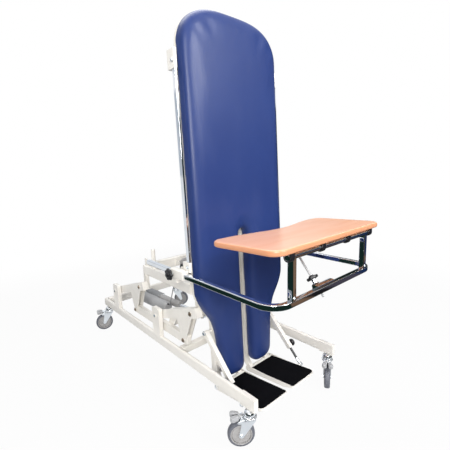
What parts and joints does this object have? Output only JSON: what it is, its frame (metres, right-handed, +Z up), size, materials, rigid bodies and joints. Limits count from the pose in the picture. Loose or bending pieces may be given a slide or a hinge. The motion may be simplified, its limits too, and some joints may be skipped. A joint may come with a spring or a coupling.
{
  "type": "tilt table",
  "caption": "Powered tilt table: padded board hinged on a lifting frame over a castor base, with angled footplates and a sliding wooden work tray.",
  "frame": {"origin": "centre of the whole table's footprint, on the floor", "axes": "+Z up, +X to the table's right-hand side seen from the foot end, +Y from the foot end and tray towards the rear of the base"},
  "size_m": [0.863, 1.8396, 1.9882],
  "materials": {
    "cream_paint": "semi-gloss",
    "chrome": "polished",
    "zinc": "satin",
    "navy_vinyl": "satin",
    "panel_laminate": "satin",
    "beech": "satin",
    "black_rubber": "matte",
    "black_plastic": "matte",
    "grey_plastic": "matte",
    "grey_tread": "matte",
    "actuator_grey": "matte",
    "cable_grey": "matte"
  },
  "bodies": {
    "base": {"base_rail_left": "cream_paint", "base_rail_right": "cream_paint", "base_rear_member": "cream_paint", "base_mid_member": "cream_paint"},
    "castor_front_left": {"castor_fork_front_left": "zinc"},
    "wheel_front_left": {"castor_wheel_front_left": "grey_tread"},
    "pedal_front_left": {"brake_pedal_front_left": "grey_plastic"},
    "castor_front_right": {"castor_fork_front_right": "zinc"},
    "wheel_front_right": {"castor_wheel_front_right": "grey_tread"},
    "pedal_front_right": {"brake_pedal_front_right": "grey_plastic"},
    "castor_rear_left": {"castor_fork_rear_left": "zinc"},
    "wheel_rear_left": {"castor_wheel_rear_left": "grey_tread"},
    "pedal_rear_left": {"brake_pedal_rear_left": "grey_plastic"},
    "castor_rear_right": {"castor_fork_rear_right": "zinc"},
    "wheel_rear_right": {"castor_wheel_rear_right": "grey_tread"},
    "pedal_rear_right": {"brake_pedal_rear_right": "grey_plastic"},
    "front_crank": {"crank_front": "cream_paint"},
    "rear_crank_left": {"crank_rear_left": "cream_paint"},
    "rear_crank_right": {"crank_rear_right": "cream_paint"},
    "link_left": {"link_bar_left": "cream_paint"},
    "link_right": {"link_bar_right": "cream_paint"},
    "lifting_frame": {"lift_rail_left": "cream_paint", "lift_rail_right": "cream_paint", "lift_rear_beam": "cream_paint", "lift_front_beam": "cream_paint", "hinge_bearing_left": "black_plastic", "hinge_bearing_right": "black_plastic"},
    "lift_actuator": {"lift_actuator_body": "actuator_grey", "actuator_cable": "cable_grey"},
    "lift_ram": {"lift_actuator_rod": "zinc"},
    "board": {"board_hinge_tube": "cream_paint", "board_frame": "cream_paint", "board_panel": "panel_laminate", "board_pad": "navy_vinyl", "accessory_rail_left": "chrome", "accessory_rail_right": "chrome"},
    "tilt_actuator": {"tilt_actuator_body": "actuator_grey"},
    "tilt_ram": {"tilt_actuator_rod": "zinc"},
    "foot_left": {"footplate_left": "cream_paint", "foot_mat_left": "black_rubber"},
    "strut_left": {"strut_tube_left": "cream_paint"},
    "strut_ram_left": {"strut_rod_left": "black_plastic"},
    "strut_clamp_left": {"strut_knob_left": "black_plastic"},
    "socket_clamp_left": {"socket_knob_left": "black_plastic"},
    "foot_right": {"footplate_right": "cream_paint", "foot_mat_right": "black_rubber"},
    "strut_right": {"strut_tube_right": "cream_paint"},
    "strut_ram_right": {"strut_rod_right": "black_plastic"},
    "strut_clamp_right": {"strut_knob_right": "black_plastic"},
    "socket_clamp_right": {"socket_knob_right": "black_plastic"},
    "workstation": {"workstation_bar": "chrome", "workstation_posts": "chrome", "tray_clamp_block": "chrome"},
    "tray": {"tray_top": "beech"},
    "prop_rod": {"tray_prop_rod": "grey_plastic"},
    "prop_guide": {"tray_prop_guide": "chrome"},
    "prop_clamp": {"tray_prop_knob": "black_plastic"}
  },
  "joints": [
    {"name": "castor_swivel_front_left", "type": "hinge", "parent": "base", "child": "castor_front_left", "pos_m": [-0.3175, -0.69092, 0.183], "axis": [0, 0, 1], "continuous": true},
    {"name": "wheel_roll_front_left", "type": "hinge", "parent": "castor_front_left", "child": "wheel_front_left", "pos_m": [-0.35104, -0.66565, 0.0625], "axis": [-0.6018, -0.7986, 0], "continuous": true},
    {"name": "brake_pedal_press_front_left", "type": "hinge", "parent": "castor_front_left", "child": "pedal_front_left", "pos_m": [-0.34785, -0.66805, 0.148], "axis": [-0.6018, -0.7986, 0], "range_deg": [0, 10]},
    {"name": "castor_swivel_front_right", "type": "hinge", "parent": "base", "child": "castor_front_right", "pos_m": [0.3175, -0.69092, 0.183], "axis": [0, 0, 1], "continuous": true},
    {"name": "wheel_roll_front_right", "type": "hinge", "parent": "castor_front_right", "child": "wheel_front_right", "pos_m": [0.28228, -0.7138, 0.0625], "axis": [0.5446, -0.8387, 0], "continuous": true},
    {"name": "brake_pedal_press_front_right", "type": "hinge", "parent": "castor_front_right", "child": "pedal_front_right", "pos_m": [0.28563, -0.71162, 0.148], "axis": [0.5446, -0.8387, 0], "range_deg": [0, 10]},
    {"name": "castor_swivel_rear_left", "type": "hinge", "parent": "base", "child": "castor_rear_left", "pos_m": [-0.3175, 0.86908, 0.183], "axis": [0, 0, 1], "continuous": true},
    {"name": "wheel_roll_rear_left", "type": "hinge", "parent": "castor_rear_left", "child": "wheel_rear_left", "pos_m": [-0.35787, 0.88066, 0.0625], "axis": [-0.2756, -0.9613, 0], "continuous": true},
    {"name": "brake_pedal_press_rear_left", "type": "hinge", "parent": "castor_rear_left", "child": "pedal_rear_left", "pos_m": [-0.35403, 0.87955, 0.148], "axis": [-0.2756, -0.9613, 0], "range_deg": [0, 10]},
    {"name": "castor_swivel_rear_right", "type": "hinge", "parent": "base", "child": "castor_rear_right", "pos_m": [0.3175, 0.86908, 0.183], "axis": [0, 0, 1], "continuous": true},
    {"name": "wheel_roll_rear_right", "type": "hinge", "parent": "castor_rear_right", "child": "wheel_rear_right", "pos_m": [0.34822, 0.84043, 0.0625], "axis": [0.682, 0.7314, 0], "continuous": true},
    {"name": "brake_pedal_press_rear_right", "type": "hinge", "parent": "castor_rear_right", "child": "pedal_rear_right", "pos_m": [0.34529, 0.84316, 0.148], "axis": [0.682, 0.7314, 0], "range_deg": [0, 10]},
    {"name": "lift", "type": "hinge", "parent": "base", "child": "front_crank", "pos_m": [0, 0.09408, 0.367], "axis": [-1, 0, 0], "range_deg": [0, 30]},
    {"name": "rear_crank_swing_left", "type": "hinge", "parent": "base", "child": "rear_crank_left", "pos_m": [-0.316, 0.67408, 0.367], "axis": [-1, 0, 0], "range_deg": [0, 30]},
    {"name": "link_bar_swing_left", "type": "hinge", "parent": "front_crank", "child": "link_left", "pos_m": [-0.2775, -0.15592, 0.292], "axis": [-1, 0, 0], "range_deg": [-30, 0]},
    {"name": "rear_crank_swing_right", "type": "hinge", "parent": "base", "child": "rear_crank_right", "pos_m": [0.316, 0.67408, 0.367], "axis": [-1, 0, 0], "range_deg": [0, 30]},
    {"name": "link_bar_swing_right", "type": "hinge", "parent": "front_crank", "child": "link_right", "pos_m": [0.2775, -0.15592, 0.292], "axis": [-1, 0, 0], "range_deg": [-30, 0]},
    {"name": "lifting_frame_level", "type": "hinge", "parent": "front_crank", "child": "lifting_frame", "pos_m": [0, -0.23592, 0.475], "axis": [-1, 0, 0], "range_deg": [-30, 0]},
    {"name": "lift_actuator_swing", "type": "hinge", "parent": "base", "child": "lift_actuator", "pos_m": [0, 0.81908, 0.235], "axis": [-1, 0, 0], "range_deg": [0, 2.56]},
    {"name": "lift_ram_travel", "type": "slide", "parent": "lift_actuator", "child": "lift_ram", "axis": [0, -0.9989, 0.0474], "range_m": [0, 0.0445]},
    {"name": "board_tilt", "type": "hinge", "parent": "lifting_frame", "child": "board", "pos_m": [0, -0.23092, 0.735], "axis": [-1, 0, 0], "range_deg": [-2, 58]},
    {"name": "tilt_actuator_swing", "type": "hinge", "parent": "lifting_frame", "child": "tilt_actuator", "pos_m": [0, 0.28408, 0.59], "axis": [-1, 0, 0], "range_deg": [-0.062, 0.012]},
    {"name": "tilt_ram_travel", "type": "slide", "parent": "tilt_actuator", "child": "tilt_ram", "axis": [0, -0.9164, 0.4004], "range_m": [-0.07825, 0.00279]},
    {"name": "footplate_angle_left", "type": "hinge", "parent": "board", "child": "foot_left", "pos_m": [-0.122, -0.3409, 0.05494], "axis": [-1, 0, 0], "range_deg": [-10, 10]},
    {"name": "strut_swing_left", "type": "hinge", "parent": "board", "child": "strut_left", "pos_m": [-0.24, -0.29091, 0.365], "axis": [-1, 0, 0], "range_deg": [-3.41, 3.41]},
    {"name": "strut_rod_travel_left", "type": "slide", "parent": "strut_left", "child": "strut_ram_left", "axis": [0, -0.6992, -0.7149], "range_m": [-0.03169, 0.03169]},
    {"name": "strut_knob_turn_left", "type": "hinge", "parent": "strut_left", "child": "strut_clamp_left", "pos_m": [-0.2545, -0.47411, 0.17769], "axis": [-1, 0, 0], "range_deg": [-180, 180]},
    {"name": "socket_knob_turn_left", "type": "hinge", "parent": "lifting_frame", "child": "socket_clamp_left", "pos_m": [-0.4075, -0.23892, 0.7275], "axis": [-1, 0, 0], "range_deg": [-180, 180]},
    {"name": "footplate_angle_right", "type": "hinge", "parent": "board", "child": "foot_right", "pos_m": [0.122, -0.3409, 0.05494], "axis": [-1, 0, 0], "range_deg": [-10, 10]},
    {"name": "strut_swing_right", "type": "hinge", "parent": "board", "child": "strut_right", "pos_m": [0.24, -0.29091, 0.365], "axis": [-1, 0, 0], "range_deg": [-3.41, 3.41]},
    {"name": "strut_rod_travel_right", "type": "slide", "parent": "strut_right", "child": "strut_ram_right", "axis": [0, -0.6992, -0.7149], "range_m": [-0.03169, 0.03169]},
    {"name": "strut_knob_turn_right", "type": "hinge", "parent": "strut_right", "child": "strut_clamp_right", "pos_m": [0.2545, -0.47411, 0.17769], "axis": [1, 0, 0], "range_deg": [-180, 180]},
    {"name": "socket_knob_turn_right", "type": "hinge", "parent": "lifting_frame", "child": "socket_clamp_right", "pos_m": [0.4075, -0.23892, 0.7275], "axis": [1, 0, 0], "range_deg": [-180, 180]},
    {"name": "workstation_slide", "type": "slide", "parent": "lifting_frame", "child": "workstation", "axis": [0, -1, 0], "range_m": [-0.12, 0.2]},
    {"name": "tray_tilt", "type": "hinge", "parent": "workstation", "child": "tray", "pos_m": [0, -0.89592, 0.917], "axis": [1, 0, 0], "range_deg": [-15, 12]},
    {"name": "prop_rod_swing", "type": "hinge", "parent": "tray", "child": "prop_rod", "pos_m": [-0.05, -0.69594, 0.91227], "axis": [1, 0, 0], "range_deg": [-5.78, 7.22]},
    {"name": "prop_guide_swing", "type": "hinge", "parent": "workstation", "child": "prop_guide", "pos_m": [-0.05, -0.84892, 0.728], "axis": [1, 0, 0], "range_deg": [-7.8, 6.24]},
    {"name": "prop_knob_turn", "type": "hinge", "parent": "prop_guide", "child": "prop_clamp", "pos_m": [-0.05, -0.84892, 0.728], "axis": [0, 0.6388, 0.7694], "range_deg": [-180, 180]}
  ],
  "couplings": [
    {"joint": "rear_crank_swing_left", "follows": "lift", "ratio": 1},
    {"joint": "link_bar_swing_left", "follows": "lift", "ratio": -1},
    {"joint": "rear_crank_swing_right", "follows": "lift", "ratio": 1},
    {"joint": "link_bar_swing_right", "follows": "lift", "ratio": -1},
    {"joint": "lifting_frame_level", "follows": "lift", "ratio": -1},
    {"joint": "lift_actuator_swing", "follows": "lift", "ratio": 0.08493},
    {"joint": "lift_ram_travel", "follows": "lift", "m_per_rad": 0.08479},
    {"joint": "tilt_actuator_swing", "follows": "board_tilt", "ratio": -0.0009},
    {"joint": "tilt_ram_travel", "follows": "board_tilt", "m_per_rad": -0.0772},
    {"joint": "strut_swing_left", "follows": "footplate_angle_left", "ratio": 0.34},
    {"joint": "strut_rod_travel_left", "follows": "footplate_angle_left", "m_per_rad": -0.181},
    {"joint": "strut_swing_right", "follows": "footplate_angle_right", "ratio": 0.34},
    {"joint": "strut_rod_travel_right", "follows": "footplate_angle_right", "m_per_rad": -0.181},
    {"joint": "prop_rod_swing", "follows": "tray_tilt", "ratio": -0.4806},
    {"joint": "prop_guide_swing", "follows": "tray_tilt", "ratio": 0.5194}
  ]
}
